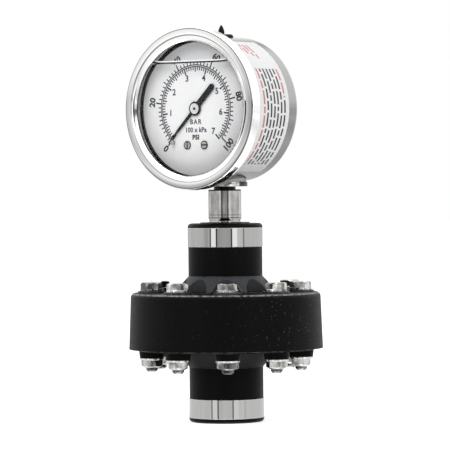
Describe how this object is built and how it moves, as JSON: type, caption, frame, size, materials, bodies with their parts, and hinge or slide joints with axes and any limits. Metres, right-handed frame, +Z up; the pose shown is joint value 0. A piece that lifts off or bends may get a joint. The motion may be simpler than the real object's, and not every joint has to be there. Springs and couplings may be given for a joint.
{
  "type": "diaphragm seal pressure gauge",
  "caption": "Liquid-filled pressure gauge on a bolted plastic diaphragm seal with a threaded port; a bourdon tube, link, sector and pinion turn the pointer.",
  "frame": {"origin": "centre of the process port's mouth, in the plane of the lower neck's end face", "axes": "+Z up along the stem, -Y the way the dial faces, +X to the right seen from the dial side"},
  "size_m": [0.0824, 0.0824, 0.1685],
  "materials": {
    "housing_plastic": "moulded, slight sheen",
    "neck_ring_steel": "turned and polished",
    "fastener_steel": "plain",
    "washer_steel": "dull",
    "socket_steel": "machined",
    "case_steel": "drawn and polished",
    "bezel_steel": "bright polished",
    "black_rubber": "matt",
    "window_clear": "clear",
    "dial_white": "satin",
    "pointer_black": "satin",
    "small_steel": "bright",
    "movement_brass": "satin",
    "membrane": "matt"
  },
  "bodies": {
    "gauge": {"lower_neck": "housing_plastic", "lower_housing": "housing_plastic", "upper_housing": "housing_plastic", "diaphragm": "membrane", "lower_neck_ring": "neck_ring_steel", "upper_neck_ring": "neck_ring_steel", "flange_bolts": "fastener_steel", "flat_washers": "washer_steel", "lock_washers": "fastener_steel", "nut_washers": "fastener_steel", "flange_nuts": "fastener_steel", "gauge_socket": "socket_steel", "stem_collar": "socket_steel", "stem_seal": "black_rubber", "case_shell": "case_steel", "bezel": "bezel_steel", "window": "window_clear", "window_gasket": "black_rubber", "fill_plug": "black_rubber", "dial": "dial_white", "dial_screws": "small_steel", "stop_pin": "small_steel", "movement_front_plate": "movement_brass", "movement_rear_plate": "movement_brass", "movement_pillars": "movement_brass", "movement_screws": "small_steel", "bourdon_tube": "small_steel", "hairspring": "movement_brass"},
    "sector": {"sector_gear": "movement_brass", "sector_arbor": "small_steel"},
    "linkage": {"tip_link": "small_steel", "link_pins": "small_steel", "tube_tip": "small_steel"},
    "pointer": {"pointer": "pointer_black", "pointer_bush": "small_steel", "pinion_shaft": "movement_brass"}
  },
  "joints": [
    {"name": "sector_swing", "type": "hinge", "parent": "gauge", "child": "sector", "pos_m": [0, -0.0098, 0.11905], "axis": [0, -1, 0], "range_deg": [0, 27], "stiffness_Nm_per_rad": 0.02, "deforming": ["bourdon_tube"]},
    {"name": "pointer_turn", "type": "hinge", "parent": "gauge", "child": "pointer", "pos_m": [0, -0.0176, 0.1328], "axis": [0, 1, 0], "range_deg": [0, 270], "deforming": ["hairspring"]},
    {"name": "link_swing", "type": "hinge", "parent": "sector", "child": "linkage", "pos_m": [0.00658, -0.0088, 0.11666], "axis": [0, 1, 0], "range_deg": [0, 27]}
  ],
  "couplings": [
    {"joint": "pointer_turn", "follows": "sector_swing", "ratio": 10},
    {"joint": "link_swing", "follows": "sector_swing", "ratio": 1}
  ]
}
